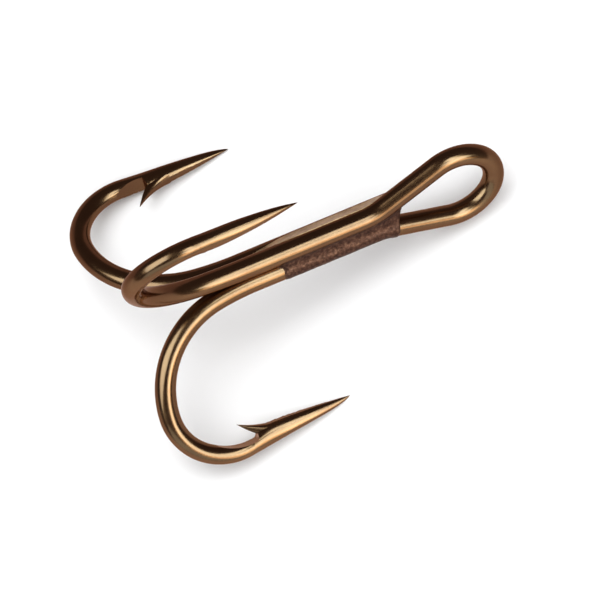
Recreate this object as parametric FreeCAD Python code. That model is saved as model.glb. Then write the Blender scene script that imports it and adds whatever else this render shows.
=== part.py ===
import FreeCAD, Part
import math
import os

# A treble fishing hook: one bent-round double hook, one single hook and the braze that joins them.
# Working frame: +X runs along the shank toward the eye, X = 0 where the eye's neck begins.
# The three shanks lie in a triangle round the X axis and every hook bends outward from it.
# At the end the whole hook is tipped into the pose it rests in on a flat surface (+Z up).
# Lengths are millimetres, angles are degrees.

Vec = FreeCAD.Vector

WIRE_R = 0.75
SHANK_SPACING = 2.0 * WIRE_R / math.sqrt(3.0)
SHANK_L = 9.05

# Outward direction of each hook round the X axis, and how far its bend is shifted along the shank.
TOP_HOOK = 90.0
NEAR_HOOK = 210.0
FAR_HOOK = 330.0
BEND_SHIFT = 0.32

# Sideways lean of a hook's throat and leg out of the plane of its bend.
TOP_SWAY_DEG = 1.6
NEAR_SWAY_DEG = 0.0
FAR_SWAY_DEG = -2.2

# Hook outline: a slight flare, the round bend, a tighter throat, then a leg leaning inward.
FLARE_R = 19.1
FLARE_DEG = 9.2
BEND_R = 7.0
BEND_DEG = 79.7
THROAT_R = 4.03
LEG_LEAN_DEG = 3.8
LEG_L = 8.22

# The wire is squeezed slimmer through the throat, then ground to an ogival point.
LEG_R = 0.655
LEG_SHIFT = 0.09
POINT_POWER = 2.5
OUTER_SLOPE = 0.5
NOSE_DROP = 0.3
NOSE_POWER = 12.0
FLAT_START = 2.3
FLAT_DEPTH = 1.03
FLAT_RATIO = 0.9
TIP_R = 0.02
THROAT_RINGS = 5
LEG_STATIONS = (0.0, 0.14, 0.28, 0.42, 0.56, 0.7, 0.8, 0.88, 0.95, 1.0)

# Barb: its place is that of the notch under it. On the far hook the notch sits further along
# and the barb stands taller. A barb is a sliver lifted from the inner side of the leg, which
# leaves a scoop behind it.
SCOOP_FLOOR = 0.4
SCOOP_RUN = 2.4
SCOOP_RISE = 1.05
SCOOP_POWER = 2.5
SCOOP_STEPS = 8
NOTCH_S = 1.1
FAR_BARB_SHIFT = 0.75
FAR_BARB_LIFT = 0.42
BARB_TIP_S = 0.05
BARB_RISE = 1.98
BARB_ROOT_HALF_W = 0.5
BARB_TIP_HALF_W = 0.04
BARB_SINK = 0.15
BARB_ROOT_L = 1.5
BARB_SETTLE = 0.04

# Corners of the barb's outline: shares of its sweep back from the notch, and of its rise.
BARB_UNDERSIDE = ((0.0, 0.12), (0.25, 0.36), (0.7, 0.74))
BARB_BACK = ((0.55, 0.81), (0.0, 0.59), (-0.5, 0.44))

# Teardrop eye: half outline from the top of the loop down to the neck, slightly leaning.
EYE_TOP_R = 2.47
EYE_TOP_DEG = 47.8
EYE_SIDE_R = 3.13
EYE_TAPER_DEG = 18.75
EYE_NECK_R = 4.4
EYE_SWING_DEG = 1.4
EYE_TILT_DEG = 2.0
LEAN_R = 8.0
LEAN_LEAD = 0.34

# Braze: how far it runs from the bend end of the shank to the crotch of the eye.
BRAZE_START = -7.0
SIDE_START = -8.8
BRAZE_CROTCH = 2.9
SINGLE_SHANK_END = 2.3
SEAM_GAP = 0.05
WEB_START = 0.6
WEB_FRONT = 0.62
WEB_BACK = 0.55
NECK_LEAD = 7.5
WEB_HALF_W = 1.2
HOLLOW_R = 1.2
HOLLOW_DIP = 0.225
CORE_REACH = 0.337

# Attitude at rest on a flat surface: it stands on the two lower hooks, with the eye just
# clear of the surface.
REST_PITCH_DEG = 10.95
REST_ROLL_DEG = -1.425
MESH_TOL = 0.01

AXIS = Vec(1, 0, 0)
ORIGIN = Vec(0, 0, 0)
PRISM_HALF_W = 2.0
CUT_REACH = 3.0
PAST_TIP = 1.0


def radial(degrees):
    """Unit vector that points outward from the shank axis."""
    turn = math.radians(degrees)
    return Vec(0, math.cos(turn), math.sin(turn))


class Walk:
    """A point that walks along a wire's centre line and collects the line and arc edges."""

    def __init__(self, at, heading):
        self.at = Vec(at)
        self.heading = Vec(heading)
        self.edges = []

    def line(self, length):
        end = self.at + self.heading * length
        self.edges.append(Part.LineSegment(self.at, end).toShape())
        self.at = end

    def arc(self, normal, radius, degrees):
        side = math.copysign(radius, degrees)
        centre = self.at + normal.cross(self.heading) * side
        half = FreeCAD.Rotation(normal, degrees / 2.0)
        full = FreeCAD.Rotation(normal, degrees)
        middle = centre + half.multVec(self.at - centre)
        end = centre + full.multVec(self.at - centre)
        self.edges.append(Part.Arc(self.at, middle, end).toShape())
        self.at = end
        self.heading = full.multVec(self.heading)


def section(centre, outward, heading, half_depth, half_width):
    """Closed oval across the wire; its seam always lies on the outward side."""
    if half_depth - half_width < 1e-6:
        curve = Part.Circle(ORIGIN, Vec(0, 0, 1), half_width)
    else:
        curve = Part.Ellipse(Vec(half_depth, 0, 0), Vec(0, half_width, 0), ORIGIN)
    ring = Part.Wire([curve.toShape()])
    turn = FreeCAD.Rotation(outward, heading.cross(outward), heading, "XZY")
    ring.Placement = FreeCAD.Placement(centre, turn)
    return ring


def shank_end(outward, shift):
    """Where one hook's straight shank ends and its flare begins."""
    return outward * SHANK_SPACING + AXIS * (shift - SHANK_L)


def bend_hook(walk, outward, sway_deg):
    """Walk one hook's flare and bend, and return the normal of the plane of its throat."""
    normal = outward.cross(AXIS)
    walk.arc(normal, FLARE_R, FLARE_DEG)
    walk.arc(normal, BEND_R, BEND_DEG)
    return FreeCAD.Rotation(walk.heading, sway_deg).multVec(normal)


def leg_oval(along):
    """Outer edge, half depth and half width of the leg at a distance from its start."""
    part = along / LEG_L
    outer_start = LEG_R - LEG_SHIFT
    outer = outer_start - OUTER_SLOPE * part - NOSE_DROP * part ** NOSE_POWER
    tip_inner = outer_start - OUTER_SLOPE - NOSE_DROP
    if along < FLAT_START:
        share = along / FLAT_START
        inner = -(LEG_R + LEG_SHIFT) * (1 - share) - FLAT_DEPTH * share
    else:
        share = (along - FLAT_START) / (LEG_L - FLAT_START)
        inner = -FLAT_DEPTH * (1 - share) + tip_inner * share
    ratio = 1.0 - (1.0 - FLAT_RATIO) * min(1.0, along / FLAT_START)
    half_depth = max(TIP_R, (outer - inner) / (1.0 + ratio))
    half_width = max(TIP_R, LEG_R * (1.0 - part ** POINT_POWER))
    return outer, half_depth, min(half_width, half_depth)


def throat_and_leg(start, heading, normal):
    """Lofted throat and point, plus the frame of the leg: its start, run, outward and side."""
    throat_deg = 180.0 + LEG_LEAN_DEG - FLARE_DEG - BEND_DEG
    centre = start + normal.cross(heading) * THROAT_R
    rings = []
    for step in range(THROAT_RINGS):
        share = step / THROAT_RINGS
        turn = FreeCAD.Rotation(normal, throat_deg * share)
        run = turn.multVec(heading)
        outward = -normal.cross(run)
        radius = WIRE_R + (LEG_R - WIRE_R) * share
        middle = centre + outward * (THROAT_R - LEG_SHIFT * share)
        rings.append(section(middle, outward, run, radius, radius))
    turn = FreeCAD.Rotation(normal, throat_deg)
    run = turn.multVec(heading)
    outward = -normal.cross(run)
    leg_start = centre + outward * THROAT_R
    for station in LEG_STATIONS:
        along = LEG_L * station
        outer, half_depth, half_width = leg_oval(along)
        middle = leg_start + run * along + outward * (outer - half_depth)
        rings.append(section(middle, outward, run, half_depth, half_width))
    return Part.makeLoft(rings, True, False), (leg_start, run, outward, normal)


def leg_prism(frame, outline, half_width):
    """Prism from an outline given as (along the leg, height on its inner side) pairs."""
    start, run, outward, side = frame
    points = []
    for along, inner in outline:
        points.append(start + run * along - outward * inner - side * half_width)
    face = Part.Face(Part.makePolygon(points + points[:1]))
    return face.extrude(side * (2.0 * half_width))


def flat_cut(frame):
    """Stock taken off the inner side of the point to leave its flat."""
    tip_inner = OUTER_SLOPE + NOSE_DROP + LEG_SHIFT - LEG_R
    slope = (tip_inner - FLAT_DEPTH) / (LEG_L - FLAT_START)
    beyond = LEG_L + PAST_TIP
    outline = [
        (FLAT_START, FLAT_DEPTH),
        (beyond, FLAT_DEPTH + slope * (beyond - FLAT_START)),
        (beyond, CUT_REACH),
        (FLAT_START, CUT_REACH),
    ]
    return leg_prism(frame, outline, PRISM_HALF_W)


def scoop_cut(frame, notch):
    """Stock lifted from the inner side between the throat and the notch under the barb."""
    outline = []
    for step in range(SCOOP_STEPS + 1):
        share = step / SCOOP_STEPS
        along = notch - SCOOP_RUN * share
        outline.append((along, SCOOP_FLOOR + SCOOP_RISE * share ** SCOOP_POWER))
    outline.append((notch - SCOOP_RUN, CUT_REACH))
    outline.append((notch, CUT_REACH))
    return leg_prism(frame, outline, PRISM_HALF_W)


def barb_body(frame, notch, lift):
    """The lifted sliver: rooted at the flat's start, sweeping back to a sharp tip."""
    start, run, outward, side = frame
    rise = BARB_RISE + lift - SCOOP_FLOOR
    sweep = NOTCH_S - BARB_TIP_S
    end = notch + BARB_ROOT_L
    root = SCOOP_FLOOR - BARB_SINK
    outline = [(notch, root)]
    for back, up in BARB_UNDERSIDE:
        outline.append((notch - back * sweep, SCOOP_FLOOR + up * rise))
    outline.append((notch - sweep, BARB_RISE + lift))
    for back, up in BARB_BACK:
        outline.append((notch - back * sweep, SCOOP_FLOOR + up * rise))
    outline.append((end, FLAT_DEPTH - BARB_SETTLE))
    outline.append((end, root))
    slab = leg_prism(frame, outline, PRISM_HALF_W)
    plan = [
        (end, BARB_ROOT_HALF_W),
        (notch, BARB_ROOT_HALF_W),
        (notch - sweep, BARB_TIP_HALF_W),
    ]
    corners = [start + run * s + side * h for s, h in plan]
    corners += [start + run * s - side * h for s, h in reversed(plan)]
    wedge = Part.Face(Part.makePolygon(corners + corners[:1]))
    return slab.common(wedge.extrude(outward * -CUT_REACH))


def hook_end(walk, normal, barb_shift, barb_lift):
    """Throat, point and barb that finish one hook."""
    body, frame = throat_and_leg(walk.at, walk.heading, normal)
    notch = NOTCH_S + barb_shift
    body = body.cut(flat_cut(frame))
    body = body.cut(scoop_cut(frame, notch))
    return body.fuse(barb_body(frame, notch, barb_lift))


def swept_wire(edges, throat, normal):
    """Round wire swept from one hook's throat along a chain of edges."""
    path = Part.Wire(Part.sortEdges(edges)[0])
    across = -normal.cross(throat.heading)
    profile = section(throat.at, across, throat.heading, WIRE_R, WIRE_R)
    return path.makePipeShell([profile], True, False)


def eye_frame():
    """Leaned axis of the eye, the direction across it, and its plane's normal."""
    across = radial(TOP_HOOK) - radial(NEAR_HOOK)
    across.normalize()
    normal = AXIS.cross(across)
    lean = FreeCAD.Rotation(normal, EYE_SWING_DEG).multiply(FreeCAD.Rotation(across, EYE_TILT_DEG))
    return lean.multVec(AXIS), lean.multVec(across), lean.multVec(normal)


def eye_straight():
    """Length of the eye's straight side that closes the loop at its top."""
    taper = math.radians(EYE_TAPER_DEG)
    top = math.radians(EYE_TOP_DEG)
    widest = EYE_TOP_R * math.sin(top) + EYE_SIDE_R * (1.0 - math.sin(top))
    neck = WIRE_R + EYE_NECK_R * (1.0 - math.cos(taper))
    shoulder = EYE_SIDE_R * (1.0 - math.cos(taper))
    return (widest - shoulder - neck) / math.sin(taper)


def walk_eye(walk):
    """Walk round the whole eye, from the end of one straight shank to the end of the other."""
    leaned, across, normal = eye_frame()
    lean_axis = AXIS.cross(leaned)
    lean_axis.normalize()
    lean = math.degrees(AXIS.getAngle(leaned))
    side_deg = 90.0 + EYE_TAPER_DEG - EYE_TOP_DEG
    walk.arc(lean_axis, LEAN_R, lean)
    walk.arc(normal, EYE_NECK_R, EYE_TAPER_DEG)
    walk.line(eye_straight())
    walk.arc(normal, EYE_SIDE_R, -side_deg)
    walk.arc(normal, EYE_TOP_R, -2.0 * EYE_TOP_DEG)
    walk.arc(normal, EYE_SIDE_R, -side_deg)
    walk.line(eye_straight())
    walk.arc(normal, EYE_NECK_R, EYE_TAPER_DEG)
    walk.arc(lean_axis, LEAN_R, -lean)


def double_hook():
    """The double hook: a single wire bent back on itself to form the eye."""
    top = radial(TOP_HOOK)
    near = radial(NEAR_HOOK)
    top_walk = Walk(shank_end(top, 0.0), -AXIS)
    top_normal = bend_hook(top_walk, top, TOP_SWAY_DEG)
    walk = Walk(shank_end(top, 0.0), AXIS)
    skew = WIRE_R * math.tan(math.radians(EYE_SWING_DEG))
    walk.line(SHANK_L - skew - LEAN_LEAD)
    walk_eye(walk)
    walk.line(SHANK_L + skew - LEAN_LEAD - BEND_SHIFT)
    near_normal = bend_hook(walk, near, NEAR_SWAY_DEG)
    wire = swept_wire(top_walk.edges + walk.edges, top_walk, top_normal)
    wire = wire.fuse(hook_end(top_walk, top_normal, 0.0, 0.0))
    return wire.fuse(hook_end(walk, near_normal, 0.0, 0.0))


def single_hook():
    """The third hook: a plain shank laid in the groove behind the double hook."""
    outward = radial(FAR_HOOK)
    walk = Walk(shank_end(outward, -BEND_SHIFT), -AXIS)
    normal = bend_hook(walk, outward, FAR_SWAY_DEG)
    shank = Walk(shank_end(outward, -BEND_SHIFT), AXIS)
    shank.line(SHANK_L + BEND_SHIFT + SINGLE_SHANK_END)
    wire = swept_wire(walk.edges + shank.edges, walk, normal)
    return wire.fuse(hook_end(walk, normal, FAR_BARB_SHIFT, FAR_BARB_LIFT))


def groove_prism(first, second, x_start, x_end, top):
    """Bar that overfills the outer groove between two neighbouring shanks."""
    outward = radial((first + second) / 2.0)
    across = AXIS.cross(outward)
    middle = SHANK_SPACING / 2.0
    bite = WIRE_R + SEAM_GAP / 2.0
    floor = middle + math.sqrt(bite ** 2 - WIRE_R ** 2)
    corners = [(-WIRE_R, floor), (WIRE_R, floor), (WIRE_R, top), (-WIRE_R, top)]
    points = [AXIS * x_start + across * w + outward * h for w, h in corners]
    face = Part.Face(Part.makePolygon(points + points[:1]))
    return face.extrude(AXIS * (x_end - x_start))


def braze_seam(first, second, x_start, x_end, wires):
    """Braze in the outer groove between two shanks, its face a little hollow."""
    outward = radial((first + second) / 2.0)
    crest = SHANK_SPACING / 2.0 + WIRE_R
    bar = groove_prism(first, second, x_start, x_end, crest)
    hollow_h = crest - HOLLOW_DIP + HOLLOW_R
    base = AXIS * (x_start - 1.0) + outward * hollow_h
    hollow = Part.makeCylinder(HOLLOW_R, x_end - x_start + 2.0, base, AXIS)
    seam = bar.cut(hollow)
    for wire in wires:
        seam = seam.cut(wire)
    return biggest(seam)


def biggest(shape):
    """The largest solid of a shape."""
    return max(shape.Solids, key=lambda solid: solid.Volume)


def braze_core(x_start, x_end):
    """Braze drawn into the three-sided channel between the shanks."""
    points = []
    for degrees in (TOP_HOOK - 60.0, TOP_HOOK + 60.0, TOP_HOOK + 180.0):
        corner = radial(degrees) * CORE_REACH
        points.append(AXIS * x_start + corner)
    face = Part.Face(Part.makePolygon(points + points[:1]))
    core = face.extrude(AXIS * (x_end - x_start))
    for degrees in (TOP_HOOK, NEAR_HOOK, FAR_HOOK):
        base = AXIS * (x_start - 1.0) + radial(degrees) * SHANK_SPACING
        core = core.cut(Part.makeCylinder(WIRE_R, x_end - x_start + 2.0, base, AXIS))
    return biggest(core)


def neck_wire(outward, side):
    """One neck of the eye on its own, from the shank's last stretch up the straight side."""
    leaned, across, normal = eye_frame()
    lean_axis = AXIS.cross(leaned)
    lean_axis.normalize()
    skew = side * WIRE_R * math.tan(math.radians(EYE_SWING_DEG))
    walk = Walk(outward * SHANK_SPACING - AXIS * (NECK_LEAD + skew), AXIS)
    start = section(walk.at, outward, AXIS, WIRE_R, WIRE_R)
    walk.line(NECK_LEAD - LEAN_LEAD)
    walk.arc(lean_axis, LEAN_R, math.degrees(AXIS.getAngle(leaned)))
    walk.arc(normal, EYE_NECK_R, side * EYE_TAPER_DEG)
    walk.line(eye_straight())
    return Part.Wire(Part.sortEdges(walk.edges)[0]).makePipeShell([start], True, False)


def eye_web():
    """Braze webbed between the two necks of the eye, as far as the crotch."""
    leaned, across, normal = eye_frame()
    middle = (radial(TOP_HOOK) + radial(NEAR_HOOK)) * (SHANK_SPACING / 2.0)
    front = normal * (WIRE_R * WEB_FRONT)
    back = -normal * (WIRE_R * WEB_BACK)
    corners = [front - across * WEB_HALF_W, front + across * WEB_HALF_W]
    corners += [back + across * WEB_HALF_W, back - across * WEB_HALF_W]
    points = [middle + leaned * WEB_START + corner for corner in corners]
    face = Part.Face(Part.makePolygon(points + points[:1]))
    return face.extrude(leaned * (BRAZE_CROTCH - WEB_START))


def front_seam():
    """Braze of the front groove, running on into the web that closes the crotch of the eye."""
    necks = [neck_wire(radial(TOP_HOOK), 1.0), neck_wire(radial(NEAR_HOOK), -1.0)]
    seam = braze_seam(TOP_HOOK, NEAR_HOOK, BRAZE_START, BRAZE_CROTCH, necks)
    web = eye_web()
    for neck in necks:
        web = web.cut(neck)
    return seam.fuse(biggest(web))


def tipped(shape):
    """Tip a shape from the working frame into the resting attitude."""
    out = shape.copy()
    out.rotate(ORIGIN, Vec(0, 1, 0), REST_PITCH_DEG)
    out.rotate(ORIGIN, AXIS, REST_ROLL_DEG)
    return out


def rest_shift(shapes):
    """Move that puts the lowest point at Z = 0 and the middle of the outline over the origin."""
    points = []
    for shape in shapes:
        points += shape.tessellate(MESH_TOL)[0]
    xs = [point.x for point in points]
    ys = [point.y for point in points]
    zs = [point.z for point in points]
    return Vec(-(min(xs) + max(xs)) / 2.0, -(min(ys) + max(ys)) / 2.0, -min(zs))


def main():
    os.makedirs("parts", exist_ok=True)
    double = double_hook()
    single = single_hook()
    wires = [double, single]
    far_seam = braze_seam(FAR_HOOK, TOP_HOOK + 360.0, SIDE_START, SINGLE_SHANK_END, wires)
    back_seam = braze_seam(NEAR_HOOK, FAR_HOOK, BRAZE_START, SINGLE_SHANK_END, wires)
    parts = {
        "double_hook": double,
        "single_hook": single,
        "braze_core": braze_core(BRAZE_START, 0.0),
        "braze_front": front_seam(),
        "braze_side": far_seam,
        "braze_back": back_seam,
    }
    parts = {name: tipped(shape) for name, shape in parts.items()}
    shift = rest_shift([parts["double_hook"], parts["single_hook"]])
    for name, shape in parts.items():
        shape.translate(shift)
        print(name, len(shape.Solids), shape.isValid(), round(shape.Volume, 3))
        shape.exportStep("parts/%s.step" % name)
    print("moved by", shift)


main()
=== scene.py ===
import math

import bpy
import numpy as np
from mathutils import Matrix, Vector, noise


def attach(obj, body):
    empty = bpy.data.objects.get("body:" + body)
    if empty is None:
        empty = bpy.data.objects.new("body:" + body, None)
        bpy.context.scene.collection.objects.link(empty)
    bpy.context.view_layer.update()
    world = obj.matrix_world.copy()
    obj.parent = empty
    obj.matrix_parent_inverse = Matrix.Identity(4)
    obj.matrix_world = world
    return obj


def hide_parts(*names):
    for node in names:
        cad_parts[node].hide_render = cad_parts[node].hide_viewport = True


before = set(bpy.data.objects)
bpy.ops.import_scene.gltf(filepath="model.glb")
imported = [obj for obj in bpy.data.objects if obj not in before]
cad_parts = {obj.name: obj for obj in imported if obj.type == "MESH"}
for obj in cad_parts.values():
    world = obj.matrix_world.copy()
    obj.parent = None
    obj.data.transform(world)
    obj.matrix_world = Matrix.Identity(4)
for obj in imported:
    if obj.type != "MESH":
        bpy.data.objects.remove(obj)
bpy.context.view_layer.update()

# A treble hook: two bent wires and the braze that joins them, built here along the same centre
# lines as the CAD part but with finer points, barbs and braze. The core of the braze is closed in
# between the shanks and keeps its CAD mesh. Millimetres and degrees.
# Working frame: +X runs up the shank toward the eye and X = 0 is where the eye's neck begins.

MM = 0.001
WIRE_R = 0.75
SHANK_SPACING = 2.0 * WIRE_R / math.sqrt(3.0)
SHANK_L = 9.05
TOP_HOOK = 90.0
NEAR_HOOK = 210.0
FAR_HOOK = 330.0
BEND_SHIFT = 0.32
TOP_SWAY_DEG = 1.6
NEAR_SWAY_DEG = 0.0
FAR_SWAY_DEG = -2.2

# Hook outline: a slight flare, the round bend, a tighter throat, then a leg leaning inward.
FLARE_R = 19.1
FLARE_DEG = 9.2
BEND_R = 7.0
BEND_DEG = 79.7
THROAT_R = 4.03
LEG_LEAN_DEG = 3.8
LEG_L = 8.22

# The leg is squeezed slimmer than the wire, from EASE_FROM to EASE_TO along it, then ground to
# a point. CORNER_DEG is where the flat's corners lie round the oval.
LEG_R = 0.655
LEG_SHIFT = 0.09
EASE_FROM = -0.4
EASE_TO = 0.6
THINNEST = 0.001
POINT_POWER = 2.5
OUTER_SLOPE = 0.5
NOSE_DROP = 0.3
NOSE_POWER = 12.0
CORNER_DEG = 155.0
FLAT_START = 2.14
FLAT_DEPTH = 1.06
FLAT_BOW = 1.3

# The scoop behind the barb, the notch that ends it, and how far back into the throat it is cut.
SCOOP_FLOOR = 0.37
SCOOP_CURVE = 0.12
SCOOP_LOW = 0.6
SCOOP_REACH = 2.2
NOTCH_S = 1.1
NOTCH_SOFT = 0.12
FAR_BARB_SHIFT = 0.75
FAR_BARB_LIFT = 0.42

# Burrs left along the corners of the flat, and the roof-like pitch of the point's outer side.
BURR = 0.055
BURR_FREQUENCY = 5.0
ROOF = 0.95
ROOF_POWER = 0.5
ROOF_SLOPE = 0.16
ROOF_EDGE_POWER = 0.3
ROOF_START = 0.6
ROOF_FULL = 3.6

# Teardrop eye, half outline from the top of the loop down to the neck, and its slight lean.
EYE_TOP_R = 2.47
EYE_TOP_DEG = 47.8
EYE_SIDE_R = 3.13
EYE_TAPER_DEG = 18.75
EYE_NECK_R = 4.4
EYE_SWING_DEG = 1.4
EYE_TILT_DEG = 2.0
LEAN_R = 8.0
LEAN_LEAD = 0.34

BRAZE_START = -7.0
BRAZE_CROTCH = 2.95
SINGLE_SHANK_END = 2.3

# How the working frame lies in the row frame: tipped into the resting pose, then moved.
REST_PITCH_DEG = 10.95
REST_ROLL_DEG = -1.425
REST_MOVE = np.array([4.5496, 0.0384, 4.3489])

# Spacing of rings along the wire, and points round a ring on its outer and inner side.
STEP = 0.11
RING_OUTER = 54
RING_INNER = 10
SMOOTH_DEG = 35.0

# Spacing of rings along the leg: its start, the stretch round the notch, the point and the nose.
BODY_STEP = 0.08
NOTCH_ZONE = 0.2
NOTCH_STEP = 0.02
POINT_STEP = 0.07
NOSE_L = 1.0
NOSE_END = 0.004
NOSE_RINGS = 30
AXIS = np.array([1.0, 0.0, 0.0])


def unit(vector):
    return vector / np.linalg.norm(vector)


def radial(degrees):
    """Unit vector that points outward from the shank axis."""
    turn = math.radians(degrees)
    return np.array([0.0, math.cos(turn), math.sin(turn)])


def turned(vector, axis, degrees):
    """A vector turned about a unit axis through the origin."""
    turn = math.radians(degrees)
    along = axis * np.dot(axis, vector)
    across = np.cross(axis, vector)
    return along + (vector - along) * math.cos(turn) + across * math.sin(turn)


def rest_matrix():
    """Turn from the working frame into the resting pose."""
    pitch = Matrix.Rotation(math.radians(REST_PITCH_DEG), 3, "Y")
    roll = Matrix.Rotation(math.radians(REST_ROLL_DEG), 3, "X")
    return np.array(roll @ pitch)


REST = rest_matrix()


def to_row(points):
    """Working-frame millimetres to row-frame metres."""
    return (np.asarray(points) @ REST.T + REST_MOVE) * MM


class Walk:
    """Walks along a wire's centre line and keeps evenly spaced places and headings."""

    def __init__(self, at, heading):
        self.at = np.array(at, float)
        self.heading = np.array(heading, float)
        self.places = [self.at]
        self.headings = [self.heading]

    def _keep(self, place, heading):
        self.places.append(place)
        self.headings.append(heading)

    def line(self, length):
        steps = max(2, round(length / STEP))
        start = self.at
        for step in range(1, steps + 1):
            self._keep(start + self.heading * (length * step / steps), self.heading)
        self.at = self.places[-1]

    def arc(self, normal, radius, degrees):
        steps = max(3, round(abs(math.radians(degrees)) * radius / STEP))
        side = math.copysign(radius, degrees)
        centre = self.at + np.cross(normal, self.heading) * side
        start = self.at - centre
        heading = self.heading
        for step in range(1, steps + 1):
            part = degrees * step / steps
            self._keep(centre + turned(start, normal, part), turned(heading, normal, part))
        self.at = self.places[-1]
        self.heading = self.headings[-1]


def shank_end(outward, shift):
    """Where one hook's straight shank ends and its flare begins."""
    return outward * SHANK_SPACING + AXIS * (shift - SHANK_L)


def bend_hook(walk, outward, sway_deg):
    """Flare and bend, as far as the throat; returns the normal of the plane of the throat."""
    normal = np.cross(outward, AXIS)
    walk.arc(normal, FLARE_R, FLARE_DEG)
    walk.arc(normal, BEND_R, BEND_DEG)
    return turned(normal, walk.heading, sway_deg)


def eye_frame():
    """Leaned axis of the eye, the direction across it, and its plane's normal."""
    across = unit(radial(TOP_HOOK) - radial(NEAR_HOOK))
    normal = np.cross(AXIS, across)

    def lean(vector):
        return turned(turned(vector, across, EYE_TILT_DEG), normal, EYE_SWING_DEG)

    return lean(AXIS), lean(across), lean(normal)


def eye_straight():
    """Length of the eye's straight side that closes the loop at its top."""
    taper = math.radians(EYE_TAPER_DEG)
    top = math.radians(EYE_TOP_DEG)
    widest = EYE_TOP_R * math.sin(top) + EYE_SIDE_R * (1.0 - math.sin(top))
    neck = WIRE_R + EYE_NECK_R * (1.0 - math.cos(taper))
    shoulder = EYE_SIDE_R * (1.0 - math.cos(taper))
    return (widest - shoulder - neck) / math.sin(taper)


def walk_eye(walk):
    """Round the whole eye, from one straight shank to the other."""
    leaned, across, normal = eye_frame()
    lean_axis = unit(np.cross(AXIS, leaned))
    lean = math.degrees(math.acos(np.dot(AXIS, leaned)))
    side_deg = 90.0 + EYE_TAPER_DEG - EYE_TOP_DEG
    walk.arc(lean_axis, LEAN_R, lean)
    walk.arc(normal, EYE_NECK_R, EYE_TAPER_DEG)
    walk.line(eye_straight())
    walk.arc(normal, EYE_SIDE_R, -side_deg)
    walk.arc(normal, EYE_TOP_R, -2.0 * EYE_TOP_DEG)
    walk.arc(normal, EYE_SIDE_R, -side_deg)
    walk.line(eye_straight())
    walk.arc(normal, EYE_NECK_R, EYE_TAPER_DEG)
    walk.arc(lean_axis, LEAN_R, -lean)


def smooth(low, high, value):
    """Eased rise from 0 at low to 1 at high."""
    share = min(1.0, max(0.0, (value - low) / (high - low)))
    return share * share * (3.0 - 2.0 * share)


def point_inner(along):
    """Height of the point's flat above the leg's axis, on the side that faces the shank."""
    outer_start = LEG_R - LEG_SHIFT
    tip = OUTER_SLOPE + NOSE_DROP - outer_start
    share = max(0.0, (along - FLAT_START) / (LEG_L - FLAT_START))
    return tip + (FLAT_DEPTH - tip) * (1.0 - share ** FLAT_BOW)


def leg_section(along, barb_shift):
    """Outer edge, half depth, half width and inner cut of the leg, all about the leg's axis."""
    part = max(0.0, along) / LEG_L
    outer = LEG_R - LEG_SHIFT - OUTER_SLOPE * part - NOSE_DROP * part ** NOSE_POWER
    flat = point_inner(along)
    full = LEG_R + LEG_SHIFT + (flat - LEG_R - LEG_SHIFT) * smooth(0.0, FLAT_START, along)
    corner = -math.cos(math.radians(CORNER_DEG))
    half_depth = max(THINNEST, (outer + full) / (1.0 + corner))
    half_width = max(THINNEST, LEG_R * (1.0 - part ** POINT_POWER))
    if along < EASE_TO:
        half_depth = max(half_depth * smooth(EASE_FROM, EASE_TO, along), LEG_R)
    half_width = min(half_width, half_depth)
    cut = full
    notch = NOTCH_S + barb_shift
    if along < notch + NOTCH_SOFT:
        floor = SCOOP_FLOOR + SCOOP_CURVE * (SCOOP_LOW + barb_shift - along) ** 2
        floor -= min(0.0, along) ** 2 / (2.0 * THROAT_R)
        rise = smooth(notch - NOTCH_SOFT, notch + NOTCH_SOFT, along)
        cut = floor + (full - floor) * rise
    return outer, half_depth, half_width, cut


def throat_and_leg(walk, normal, barb_shift):
    """Sections of one hook from the end of its bend to its point, and the frame of its leg.

    A section is its middle, run, outward direction, half depth, half width, the share of the
    half depth that is left on the inner side, and how far its outer side is roofed."""
    heading = walk.heading
    throat_deg = 180.0 + LEG_LEAN_DEG - FLARE_DEG - BEND_DEG
    centre = walk.at + np.cross(normal, heading) * THROAT_R
    length = math.radians(throat_deg) * THROAT_R
    sections = []
    steps = round(length / STEP)
    for step in range(1, steps):
        share = step / steps
        run = turned(heading, normal, throat_deg * share)
        outward = -np.cross(normal, run)
        radius = WIRE_R + (LEG_R - WIRE_R) * share
        middle = centre + outward * (THROAT_R - LEG_SHIFT * share)
        along = length * (share - 1.0)
        cut = 1.0
        if along > -SCOOP_REACH:
            cut = min(1.0, (leg_section(along, barb_shift)[3] - LEG_SHIFT * share) / radius)
        sections.append((middle, run, outward, radius, radius, cut, 0.0))
    run = turned(heading, normal, throat_deg)
    outward = -np.cross(normal, run)
    start = centre + outward * THROAT_R
    for along in leg_stations(NOTCH_S + barb_shift):
        outer, half_depth, half_width, inner = leg_section(along, barb_shift)
        middle = start + run * along + outward * (outer - half_depth)
        cut = (inner + outer - half_depth) / half_depth
        roof = ROOF * smooth(ROOF_START, ROOF_FULL, along)
        sections.append((middle, run, outward, half_depth, half_width, cut, roof))
    return sections, (start + run * barb_shift, run, outward, np.cross(run, outward))


def leg_stations(notch):
    """Distances along the leg: closer together round the notch and near the tip."""
    before = notch - NOTCH_ZONE
    after = notch + NOTCH_ZONE
    body = list(np.arange(0.0, before, BODY_STEP))
    step = list(np.arange(before, after, NOTCH_STEP))
    point = list(np.arange(after, LEG_L - NOSE_L, POINT_STEP))
    nose = list(LEG_L - np.geomspace(NOSE_L, NOSE_END, NOSE_RINGS))
    return body + step + point + nose


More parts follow.
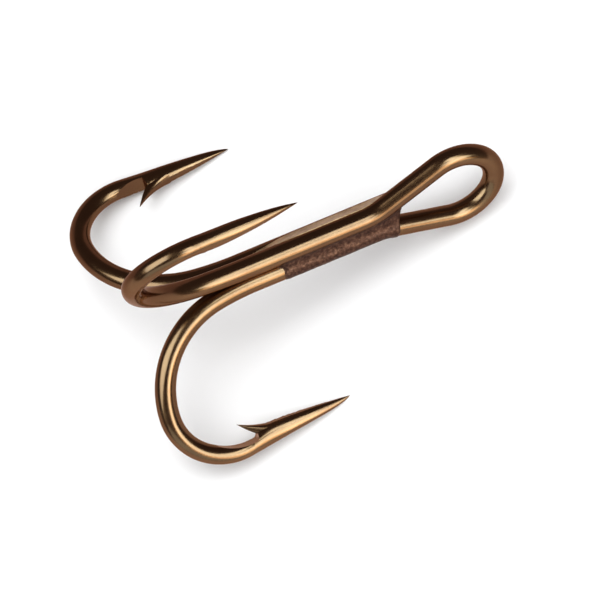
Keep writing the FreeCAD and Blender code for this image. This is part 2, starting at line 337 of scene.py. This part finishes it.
def ring(section):
    """Points round one section: an oval whose inner side may be cut off flat."""
    middle, run, outward, half_depth, half_width, cut, roof = section
    side = np.cross(run, outward)
    limit = -math.cos(math.radians(CORNER_DEG))
    flat = min(cut, limit)
    bulge = min(1.0, max(0.0, (cut - limit) / (1.0 - limit)))
    corner = math.acos(max(-1.0, min(1.0, -flat)))
    outer = np.linspace(-corner, corner, RING_OUTER)
    inner = np.linspace(corner, 2.0 * math.pi - corner, RING_INNER + 2)[1:-1]
    share = np.linspace(0.0, 1.0, RING_INNER + 2)[1:-1]
    front = np.clip(np.cos(outer), 0.0, None)
    pitched = front ** ROOF_POWER - ROOF_SLOPE * np.abs(np.sin(outer)) * front ** ROOF_EDGE_POWER
    outer_depth = np.cos(outer) * (1.0 - roof) + roof * np.where(front > 0.0, pitched, np.cos(outer))
    depth = np.concatenate([outer_depth, np.cos(inner) * bulge - flat * (1.0 - bulge)])
    chord = math.sin(corner) * (1.0 - 2.0 * share)
    width = np.concatenate([np.sin(outer), np.sin(inner) * bulge + chord * (1.0 - bulge)])
    points = middle + np.outer(depth * half_depth, outward) + np.outer(width * half_width, side)
    if roof > 0.0:
        for corner_index in (0, RING_OUTER - 1):
            place = points[corner_index]
            jag = noise.noise(Vector(place) * BURR_FREQUENCY)
            points[corner_index] = place + (place - middle) * (BURR * jag)
    return points


def transport(headings, first, last):
    """Outward directions carried along a wire with no twist but what joins both hooks' planes."""
    carried = [first]
    for before, after in zip(headings[:-1], headings[1:]):
        axis = np.cross(before, after)
        size = np.linalg.norm(axis)
        vector = carried[-1]
        if size > 1e-9:
            vector = turned(vector, axis / size, math.degrees(math.asin(min(1.0, size))))
        vector = unit(vector - after * np.dot(vector, after))
        carried.append(vector)
    sine = np.dot(np.cross(carried[-1], last), headings[-1])
    twist = math.degrees(math.atan2(sine, np.dot(carried[-1], last)))
    count = len(carried) - 1
    return [turned(v, headings[i], twist * i / count) for i, v in enumerate(carried)]


def round_sections(places, headings, first, last):
    """Sections of the plain round wire along a walk."""
    outward = transport(headings, first, last)
    return [(p, h, o, WIRE_R, WIRE_R, 1.0, 0.0) for p, h, o in zip(places, headings, outward)]


def reversed_sections(sections):
    """The same sections walked the other way."""
    return [(m, -run, *rest) for m, run, *rest in reversed(sections)]


def tube(rings, name, smooth_deg=SMOOTH_DEG):
    """Mesh object that joins a row of rings and closes both ends."""
    count = len(rings[0])
    points = to_row(np.concatenate(rings))
    faces = []
    for row in range(len(rings) - 1):
        base = row * count
        for i in range(count):
            j = (i + 1) % count
            faces.append((base + i, base + j, base + count + j, base + count + i))
    faces.append(tuple(reversed(range(count))))
    last = (len(rings) - 1) * count
    faces.append(tuple(range(last, last + count)))
    mesh = bpy.data.meshes.new(name)
    mesh.from_pydata([tuple(p) for p in points], [], faces)
    mesh.validate()
    piece = bpy.data.objects.new(name, mesh)
    bpy.context.scene.collection.objects.link(piece)
    face_outward(piece, smooth_deg)
    return piece


def face_outward(piece, smooth_deg):
    """Turn every face outward and shade smooth except across sharp edges."""
    bpy.ops.object.select_all(action="DESELECT")
    bpy.context.view_layer.objects.active = piece
    piece.select_set(True)
    bpy.ops.object.mode_set(mode="EDIT")
    bpy.ops.mesh.select_all(action="SELECT")
    bpy.ops.mesh.normals_make_consistent(inside=False)
    bpy.ops.object.mode_set(mode="OBJECT")
    bpy.ops.object.shade_smooth_by_angle(angle=math.radians(smooth_deg))


# Barb: the top edge and the underside are curves in (along the leg, height) from root to tip.
BARB_TOP = ((2.9, 0.93), (1.35, 1.15), (0.06, 1.99))
BARB_UNDER = ((1.6, 0.4), (0.95, 0.75), (0.06, 1.99))
BARB_HALF_W = 0.5
BARB_TIP_HALF_W = 0.03
BARB_RINGS = 44
BARB_SIDES = 32

# How fast the barb narrows to its tip, and how boxy its section is in height and in width.
BARB_NARROWING = 0.8
BARB_UP_POWER = 0.6
BARB_WIDE_POWER = 0.75


def curve_at(control, share):
    """Place on a quadratic curve from its three control points."""
    first, middle, last = (np.array(c) for c in control)
    return first * (1 - share) ** 2 + middle * 2 * share * (1 - share) + last * share ** 2


def softened(value, power):
    """A sine or cosine pushed out toward a box, sign kept."""
    return math.copysign(abs(value) ** power, value)


def barb_rings(leg_frame, lift):
    """Rings of one barb from its root to its tip, which is lifted more than the rest."""
    start, run, outward, side = leg_frame
    rings = []
    for share in np.linspace(0.0, 1.0, BARB_RINGS):
        top = curve_at(BARB_TOP, share)
        under = curve_at(BARB_UNDER, share)
        middle = (top + under) / 2.0
        half = (top - under) / 2.0
        width = BARB_HALF_W * (1.0 - share) ** BARB_NARROWING + BARB_TIP_HALF_W
        points = []
        for angle in np.linspace(0.0, 2.0 * math.pi, BARB_SIDES, endpoint=False):
            up = softened(math.cos(angle), BARB_UP_POWER)
            wide = softened(math.sin(angle), BARB_WIDE_POWER)
            place = middle + half * up
            rise = place[1] + lift * share ** 2
            points.append(start + run * place[0] - outward * rise + side * (width * wide))
        rings.append(np.array(points))
    return rings


def join(pieces, name):
    """Join several mesh objects into the first of them."""
    bpy.ops.object.select_all(action="DESELECT")
    for piece in pieces:
        piece.select_set(True)
    bpy.context.view_layer.objects.active = pieces[0]
    bpy.ops.object.join()
    pieces[0].name = name
    return pieces[0]


def build_double():
    """The double hook: one wire from the standing hook round the eye to the near hook."""
    top = radial(TOP_HOOK)
    near = radial(NEAR_HOOK)
    bend = Walk(shank_end(top, 0.0), -AXIS)
    top_normal = bend_hook(bend, top, TOP_SWAY_DEG)
    walk = Walk(shank_end(top, 0.0), AXIS)
    skew = WIRE_R * math.tan(math.radians(EYE_SWING_DEG))
    walk.line(SHANK_L - skew - LEAN_LEAD)
    walk_eye(walk)
    walk.line(SHANK_L + skew - LEAN_LEAD - BEND_SHIFT)
    near_normal = bend_hook(walk, near, NEAR_SWAY_DEG)
    top_end, top_leg = throat_and_leg(bend, top_normal, 0.0)
    near_end, near_leg = throat_and_leg(walk, near_normal, 0.0)
    places = bend.places[:0:-1] + walk.places
    headings = [-h for h in bend.headings[:0:-1]] + walk.headings
    first = -np.cross(top_normal, bend.heading)
    last = -np.cross(near_normal, walk.heading)
    middle = round_sections(places, headings, first, last)
    sections = reversed_sections(top_end) + middle + near_end
    wire = tube([ring(s) for s in sections], "double_hook_wire")
    barbs = [tube(barb_rings(leg, 0.0), "barb_%d" % i) for i, leg in enumerate((top_leg, near_leg))]
    return join([wire] + barbs, "double_hook_wire")


def build_single():
    """The far hook on its own plain shank."""
    outward = radial(FAR_HOOK)
    walk = Walk(shank_end(outward, -BEND_SHIFT), -AXIS)
    normal = bend_hook(walk, outward, FAR_SWAY_DEG)
    shank = Walk(shank_end(outward, -BEND_SHIFT), AXIS)
    shank.line(SHANK_L + BEND_SHIFT + SINGLE_SHANK_END)
    end, leg = throat_and_leg(walk, normal, FAR_BARB_SHIFT)
    places = shank.places[:0:-1] + walk.places
    headings = [-h for h in shank.headings[:0:-1]] + walk.headings
    last = -np.cross(normal, walk.heading)
    middle = round_sections(places, headings, outward, last)
    rings = [ring(s) for s in middle + end]
    wire = tube(rounded_end(rings), "single_hook_wire")
    return join([wire, tube(barb_rings(leg, FAR_BARB_LIFT), "barb_far")], "single_hook_wire")


# The cut end of the single shank: where its easing rings lie, how much they shrink and bulge.
END_SHARES = (1.0, 0.8, 0.55, 0.3, 0.1)
END_SHRINK = 0.3
END_BULGE = 0.22


def rounded_end(rings):
    """Ease the square cut end of a shank with a few shrinking rings."""
    middle = rings[0].mean(axis=0)
    ease = []
    for share in END_SHARES:
        size = 1.0 - END_SHRINK * share ** 2
        ease.append(middle + (rings[0] - middle) * size + AXIS * (END_BULGE * share))
    return ease + rings


# Braze: a skin over one wire that dips across the groove to its neighbour. A low is the height
# of the dip above the line between the two wires' centres.
FRONT_LOW = 0.6
SIDE_LOW = 0.7
CROTCH_LOW = 0.42
CROTCH_START = 0.4
SKIN = 0.05
SKIN_SUNK = 0.04
FRONT_WRAP_DEG = 118.0
SIDE_WRAP_DEG = 12.0
FRONT_LUMP = 0.022
SIDE_LUMP = 0.006
SIDE_START = -8.8
BRAZE_STEP = 0.05
BRAZE_SMOOTH_DEG = 60.0
FILLET_POINTS = 26
WRAP_POINTS = 30

# Share of the dip that is there where the braze begins and where it ends.
START_LOW = 0.6
END_LOW = 0.25

# At the eye the braze slants across by END_LAG over its last LAG_RUN, and thickens backward.
END_LAG = 0.95
LAG_RUN = 2.0
BACK_DEPTH = 0.4
BACK_START = 0.3
BACK_FULL = 1.6
BACK_SHARE = 0.3

# Sizes of the noise that roughens the braze, as frequency and strength, and the seed of the
# sideways noise, which would otherwise take its offsets from the clock.
LUMP_COARSE = (1.6, 0.6)
LUMP_FINE = (5.0, 0.5)
LUMP_GRAIN = (13.0, 0.35)
LUMP_SIDEWAYS = (7.0, 0.4)
NOISE_SEED = 5


def shank_place(hook, x):
    """Centre of one hook's wire at a place along the shank, following the neck of the eye."""
    outward = radial(hook)
    if hook == FAR_HOOK or x <= 0.0:
        return outward * SHANK_SPACING + AXIS * x
    leaned, across, _ = eye_frame()
    middle = (radial(TOP_HOOK) + radial(NEAR_HOOK)) * (SHANK_SPACING / 2.0)
    taper = math.radians(EYE_TAPER_DEG)
    bend = EYE_NECK_R * math.sin(taper)
    if x < bend:
        spread = EYE_NECK_R - math.sqrt(EYE_NECK_R ** 2 - x ** 2)
    else:
        spread = EYE_NECK_R * (1.0 - math.cos(taper)) + (x - bend) * math.tan(taper)
    side = 1.0 if hook % 360.0 == TOP_HOOK else -1.0
    return middle + leaned * x + across * (side * (WIRE_R + spread))


def braze_outline(first, second, x, lag, low, skin, wrap_deg, back):
    """Outline across one groove: fillet between two wires, then a skin wrapped round the second."""
    one = shank_place(first, x)
    two = shank_place(second, x - lag)
    across = unit(one - two)
    outward = unit(np.cross(AXIS, across))
    half = np.linalg.norm(one - two) / 2.0
    middle = (one + two) / 2.0
    fillet = (low ** 2 + half ** 2 - WIRE_R ** 2) / (2.0 * (WIRE_R - low))
    height = low + fillet
    lean = math.atan2(half, height)
    points = []
    for share in np.linspace(0.0, 1.0, FILLET_POINTS):
        angle = lean * (1.0 - 2.0 * share)
        deep = height - fillet * math.cos(angle) + skin * share
        points.append(middle + across * (fillet * math.sin(angle)) + outward * deep)
    start = math.atan2(height, half)
    lift = WIRE_R + skin
    for angle in np.linspace(start, start + math.radians(wrap_deg), WRAP_POINTS):
        points.append(two + across * (lift * math.cos(angle)) + outward * (lift * math.sin(angle)))
    points.append(two)
    points.append(two + across * BACK_SHARE * half - outward * back)
    points.append(one - across * BACK_SHARE * half - outward * back)
    points.append(one)
    return np.array(points)


def roughened(points, seed, amount):
    """Points pushed about by noise of several sizes, as braze sets with a grainy, uneven face."""
    moved = []
    for point in points:
        place = Vector(point) + Vector((seed, 0.0, 0.0))
        lift = noise.noise(place * LUMP_FINE[0]) * LUMP_FINE[1]
        lift += noise.noise(place * LUMP_GRAIN[0]) * LUMP_GRAIN[1]
        lift += noise.noise(place * LUMP_COARSE[0]) * LUMP_COARSE[1]
        sideways = np.array(noise.noise_vector(place * LUMP_SIDEWAYS[0]))
        away = unit(point - AXIS * point[0])
        moved.append(point + sideways * (amount * LUMP_SIDEWAYS[1]) + away * (amount * lift))
    return np.array(moved)


def braze_piece(first, second, x_end, name, look):
    """One run of braze, thinning to nothing toward the bend and rounded off at the other end."""
    rings = []
    x_start = look["start"]
    count = round((x_end - x_start) / BRAZE_STEP)
    for step in range(count + 1):
        x = x_start + (x_end - x_start) * step / count
        growth = smooth(0.0, look["taper"], x - x_start)
        close = max(0.0, 1.0 - (x_end - x) / look["round"])
        end = math.sqrt(max(0.0, 1.0 - close ** 2))
        low = look["low"] * (START_LOW + (1.0 - START_LOW) * growth)
        back = 0.0
        lag = 0.0
        if look["web"]:
            low += (CROTCH_LOW - look["low"]) * smooth(CROTCH_START, x_end, x)
            back = BACK_DEPTH * smooth(BACK_START, BACK_FULL, x) * end
            lag = END_LAG * smooth(x_end - LAG_RUN, x_end, x)
        low = low * (END_LOW + (1.0 - END_LOW) * end)
        skin = -SKIN_SUNK + (SKIN + SKIN_SUNK) * growth * end
        outline = braze_outline(first, second, x, lag, low, skin, look["wrap"], back)
        rings.append(roughened(outline, look["seed"], look["lump"]))
    return tube(rings, name, BRAZE_SMOOTH_DEG)


def build_braze():
    """The three outer runs of braze: front, side and back."""
    front = {"low": FRONT_LOW, "wrap": FRONT_WRAP_DEG, "lump": FRONT_LUMP, "seed": 3.0, "web": True}
    side = {"low": SIDE_LOW, "wrap": SIDE_WRAP_DEG, "lump": SIDE_LUMP, "seed": 17.0, "web": False}
    back = {"low": SIDE_LOW, "wrap": SIDE_WRAP_DEG, "lump": FRONT_LUMP, "seed": 29.0, "web": False}
    for look in (front, back):
        look.update(start=BRAZE_START, taper=0.7, round=0.22)
    side.update(start=SIDE_START, taper=4.0, round=1.2)
    return (
        braze_piece(TOP_HOOK, NEAR_HOOK, BRAZE_CROTCH, "braze_front_run", front),
        braze_piece(FAR_HOOK, TOP_HOOK + 360.0, SINGLE_SHANK_END, "braze_side_run", side),
        braze_piece(NEAR_HOOK, FAR_HOOK, SINGLE_SHANK_END, "braze_back_run", back),
    )


def material(name):
    """A new node material, its node tree and its shader."""
    made = bpy.data.materials.new(name)
    made.use_nodes = True
    tree = made.node_tree
    return made, tree, tree.nodes["Principled BSDF"]


def add_noise(tree, scale, detail, rough):
    """Noise in object space."""
    node = tree.nodes.new("ShaderNodeTexNoise")
    node.inputs["Scale"].default_value = scale
    node.inputs["Detail"].default_value = detail
    node.inputs["Roughness"].default_value = rough
    coords = tree.nodes.new("ShaderNodeTexCoord")
    tree.links.new(coords.outputs["Object"], node.inputs["Vector"])
    return node


def add_ramp(tree, source, stops):
    """Colour ramp driven by a source, from (place, colour) stops."""
    ramp = tree.nodes.new("ShaderNodeValToRGB")
    while len(ramp.color_ramp.elements) < len(stops):
        ramp.color_ramp.elements.new(0.5)
    for element, (place, colour) in zip(ramp.color_ramp.elements, stops):
        element.position = place
        element.color = (*colour, 1.0)
    tree.links.new(source, ramp.inputs["Fac"])
    return ramp


def add_roughness(tree, shader, wear, low, high):
    """Roughness that wanders between two values with a noise."""
    rough = tree.nodes.new("ShaderNodeMapRange")
    rough.inputs["To Min"].default_value = low
    rough.inputs["To Max"].default_value = high
    tree.links.new(wear.outputs["Fac"], rough.inputs["Value"])
    tree.links.new(rough.outputs["Result"], shader.inputs["Roughness"])


def add_bump(tree, shader, height, strength, distance):
    """Fine relief from a noise; distance is in metres."""
    bump = tree.nodes.new("ShaderNodeBump")
    bump.inputs["Strength"].default_value = strength
    bump.inputs["Distance"].default_value = distance
    tree.links.new(height.outputs["Fac"], bump.inputs["Height"])
    tree.links.new(bump.outputs["Normal"], shader.inputs["Normal"])


def bronze_material():
    """Bronze lacquer over bright steel wire: gold where thin, dark brown where it pooled."""
    made, tree, shader = material("bronze_lacquer")
    shader.inputs["Metallic"].default_value = 1.0
    shader.inputs["Specular Tint"].default_value = (0.75, 0.55, 0.45, 1.0)
    shader.inputs["Coat Weight"].default_value = 0.35
    shader.inputs["Coat Roughness"].default_value = 0.06
    shader.inputs["Coat IOR"].default_value = 1.5
    tone = add_noise(tree, 260.0, 4.0, 0.55)
    ramp = add_ramp(tree, tone.outputs["Fac"], (
        (0.3, (0.18, 0.098, 0.052)), (0.55, (0.215, 0.125, 0.066)), (0.75, (0.245, 0.147, 0.08))))
    tree.links.new(ramp.outputs["Color"], shader.inputs["Base Color"])
    add_roughness(tree, shader, add_noise(tree, 900.0, 3.0, 0.6), 0.17, 0.3)
    add_bump(tree, shader, add_noise(tree, 1500.0, 4.0, 0.6), 0.12, 0.00002)
    return made


def seam_painted_highlight_material():
    """Thin lacquer over mottled braze in the groove behind the standing hook, painted pale: a painted
    highlight standing in for the light along the far wire's top.
    """
    made, tree, shader = material("braze_painted_highlight")
    shader.inputs["Metallic"].default_value = 0.8
    # Pale tone ramp: a painted highlight along the top of the far wire; the mottling itself is random
    # grain.
    tone = add_noise(tree, 1100.0, 6.0, 0.68)
    ramp = add_ramp(tree, tone.outputs["Fac"], (
        (0.32, (0.28, 0.18, 0.105)), (0.52, (0.5, 0.37, 0.23)), (0.7, (0.66, 0.51, 0.34))))
    tree.links.new(ramp.outputs["Color"], shader.inputs["Base Color"])
    add_roughness(tree, shader, add_noise(tree, 800.0, 3.0, 0.6), 0.28, 0.42)
    add_bump(tree, shader, add_noise(tree, 2000.0, 5.0, 0.65), 0.5, 0.00004)
    return made


def braze_material():
    """Matt brown, grainy braze under the same lacquer."""
    made, tree, shader = material("braze_brown")
    shader.inputs["Metallic"].default_value = 0.8
    shader.inputs["Roughness"].default_value = 0.42
    tone = add_noise(tree, 4200.0, 5.0, 0.6)
    ramp = add_ramp(tree, tone.outputs["Fac"], (
        (0.34, (0.05, 0.024, 0.017)), (0.52, (0.1, 0.05, 0.036)), (0.68, (0.17, 0.095, 0.065))))
    tree.links.new(ramp.outputs["Color"], shader.inputs["Base Color"])
    add_bump(tree, shader, add_noise(tree, 2600.0, 5.0, 0.7), 0.6, 0.00004)
    return made


# The white card that is seen, and the dimmer glowing one under it that the metal mirrors.
CARD_HALF = 0.6
MIRRORED_DROP = 0.002

# The mirrored card's glow: which way it brightens, how fast, where, and its two ends.
GLOW_TURN = math.radians(100.0)
GLOW_SCALE = 22.0
GLOW_SHIFT = 0.5
GLOW_LOW = (0.38, 0.27, 0.25)
GLOW_HIGH = (0.88, 0.8, 0.74)


def floor_material():
    """Matt white card."""
    made, tree, shader = material("white_card")
    shader.inputs["Roughness"].default_value = 0.8
    shader.inputs["Specular IOR Level"].default_value = 0.2
    tone = add_noise(tree, 40.0, 3.0, 0.5)
    ramp = add_ramp(tree, tone.outputs["Fac"], ((0.3, (0.84, 0.86, 0.87)), (0.7, (0.86, 0.88, 0.89))))
    tree.links.new(ramp.outputs["Color"], shader.inputs["Base Color"])
    return made


def glow_material():
    """Brown-grey glow that is weaker toward one side, as a dim table top looks in the metal."""
    made = bpy.data.materials.new("table_glow")
    made.use_nodes = True
    tree = made.node_tree
    tree.nodes.clear()
    output = tree.nodes.new("ShaderNodeOutputMaterial")
    emission = tree.nodes.new("ShaderNodeEmission")
    coords = tree.nodes.new("ShaderNodeTexCoord")
    mapping = tree.nodes.new("ShaderNodeMapping")
    mapping.inputs["Rotation"].default_value = (0.0, 0.0, GLOW_TURN)
    mapping.inputs["Location"].default_value = (GLOW_SHIFT, 0.0, 0.0)
    mapping.inputs["Scale"].default_value = (GLOW_SCALE, GLOW_SCALE, 1.0)
    gradient = tree.nodes.new("ShaderNodeTexGradient")
    tree.links.new(coords.outputs["Object"], mapping.inputs["Vector"])
    tree.links.new(mapping.outputs["Vector"], gradient.inputs["Vector"])
    ramp = add_ramp(tree, gradient.outputs["Fac"], ((0.0, GLOW_LOW), (1.0, GLOW_HIGH)))
    tree.links.new(ramp.outputs["Color"], emission.inputs["Color"])
    tree.links.new(emission.outputs["Emission"], output.inputs["Surface"])
    return made


def build_card(name, height, paint):
    """A square card, level with the row frame."""
    turns = ((-1.0, -1.0), (1.0, -1.0), (1.0, 1.0), (-1.0, 1.0))
    corners = [(x * CARD_HALF, y * CARD_HALF, height) for x, y in turns]
    mesh = bpy.data.meshes.new(name)
    mesh.from_pydata(corners, [], [(0, 1, 2, 3)])
    card = bpy.data.objects.new(name, mesh)
    bpy.context.scene.collection.objects.link(card)
    mesh.materials.append(paint)
    return card


def build_floor():
    """The white card that is seen and shaded, and the dimmer one that the metal mirrors."""
    floor = build_card("floor_card", 0.0, floor_material())
    floor.visible_glossy = False
    mirrored = build_card("mirrored_card", -MIRRORED_DROP, glow_material())
    mirrored.visible_camera = False
    mirrored.visible_diffuse = False
    mirrored.visible_shadow = False


# The camera looks down steeply from the near side through a long lens, and is rolled so that
# the shank climbs to the right.
CAMERA_PLACE = Vector((26.515, -157.983, 733.862)) * MM
CAMERA_RIGHT = Vector((0.90545, -0.40666, -0.1216))
CAMERA_UP = Vector((0.42275, 0.88967, 0.17255))
LENS = 643.6
SENSOR = 36.0


def build_camera():
    """The camera; returns its turn, so that lights can be placed by the picture's directions."""
    data = bpy.data.cameras.new("camera")
    data.sensor_width = SENSOR
    data.lens = LENS
    data.clip_start = 0.01
    data.clip_end = 10.0
    camera = bpy.data.objects.new("camera", data)
    bpy.context.scene.collection.objects.link(camera)
    right = CAMERA_RIGHT.normalized()
    back = right.cross(CAMERA_UP).normalized()
    up = back.cross(right)
    turn = Matrix((right, up, back)).transposed()
    camera.matrix_world = Matrix.Translation(CAMERA_PLACE) @ turn.to_4x4()
    bpy.context.scene.camera = camera
    return turn


def area_light(name, turn, direction, distance, size, radiance, colour, gloss_only):
    """Softbox placed by a direction in (image right, image up, toward the camera).

    It is either seen only as a gloss on the metal, or lights everything but stays out of it."""
    data = bpy.data.lights.new(name, "AREA")
    data.shape = "RECTANGLE"
    data.size, data.size_y = size
    data.energy = radiance * math.pi * data.size * data.size_y
    data.color = colour
    light = bpy.data.objects.new(name, data)
    bpy.context.scene.collection.objects.link(light)
    away = (turn @ Vector(direction)).normalized()
    light.location = away * distance
    light.rotation_mode = "QUATERNION"
    light.rotation_quaternion = away.to_track_quat("Z", "Y")
    light.visible_glossy = gloss_only
    light.visible_diffuse = not gloss_only


CREAM = (0.75, 0.91, 0.94)
WHITE = (1.0, 1.0, 1.0)
AMBER = (1.0, 0.8, 0.52)

# Each light: name, direction in the picture, distance, size, radiance, colour and whether it is
# seen only as a gloss.
LIGHTS = (
    ("right_box", (0.56, -0.25, 0.79), 0.5, (0.27, 0.27), 4.7, CREAM, True),
    ("high_box", (0.32, 0.1, 0.94), 0.5, (0.17, 0.17), 4.8, CREAM, True),
    ("low_box", (0.58, -0.55, 0.6), 0.5, (0.24, 0.24), 2.4, AMBER, True),
    ("left_box", (-0.67, -0.1, 0.74), 0.5, (0.42, 0.42), 3.6, CREAM, True),
    ("low_panel", (0.15, -0.85, 0.5), 0.5, (0.9, 0.3), 0.9, CREAM, True),
    ("key", (-0.36, 0.44, 0.82), 0.5, (0.3, 0.3), 2.6, WHITE, False),
    ("fill", (0.0, 0.1, 1.0), 0.6, (1.6, 1.6), 1.25, WHITE, False),
)


def build_lights(turn):
    """A dim room, a soft key for the shadows, and softboxes that draw the lines of light."""
    world = bpy.data.worlds.new("room")
    world.use_nodes = True
    background = world.node_tree.nodes["Background"]
    background.inputs["Color"].default_value = (1.0, 0.78, 0.72, 1.0)
    background.inputs["Strength"].default_value = 0.12
    scene = bpy.context.scene
    scene.world = world
    scene.view_settings.view_transform = "Standard"
    scene.view_settings.look = "Medium High Contrast"
    for name, *setting in LIGHTS:
        area_light(name, turn, *setting)


def finish_piece(piece, paint, slot, *nodes):
    """Paint a piece, attach it to the root body and hide the CAD nodes it stands for. The slot is not
    used.
    """
    piece.data.materials.clear()
    piece.data.materials.append(paint)
    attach(piece, "root")
    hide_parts(*nodes)


def write_sizes():
    """Bring the view layer up to date."""
    bpy.context.view_layer.update()


noise.seed_set(NOISE_SEED)
double_wire = build_double()
single_wire = build_single()
front_run, side_run, back_run = build_braze()
bronze = bronze_material()
brown = braze_material()
finish_piece(double_wire, bronze, "bronzed_wire", "double_hook")
finish_piece(single_wire, bronze, "bronzed_wire", "single_hook")
finish_piece(front_run, brown, "braze", "braze_front")
# The side run gets the pale paint, a painted highlight along the far wire's top.
finish_piece(side_run, seam_painted_highlight_material(), "braze", "braze_side")
finish_piece(back_run, brown, "braze", "braze_back")
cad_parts["braze_core"].data.materials.clear()
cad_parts["braze_core"].data.materials.append(brown)
build_floor()
camera_turn = build_camera()
build_lights(camera_turn)
write_sizes()
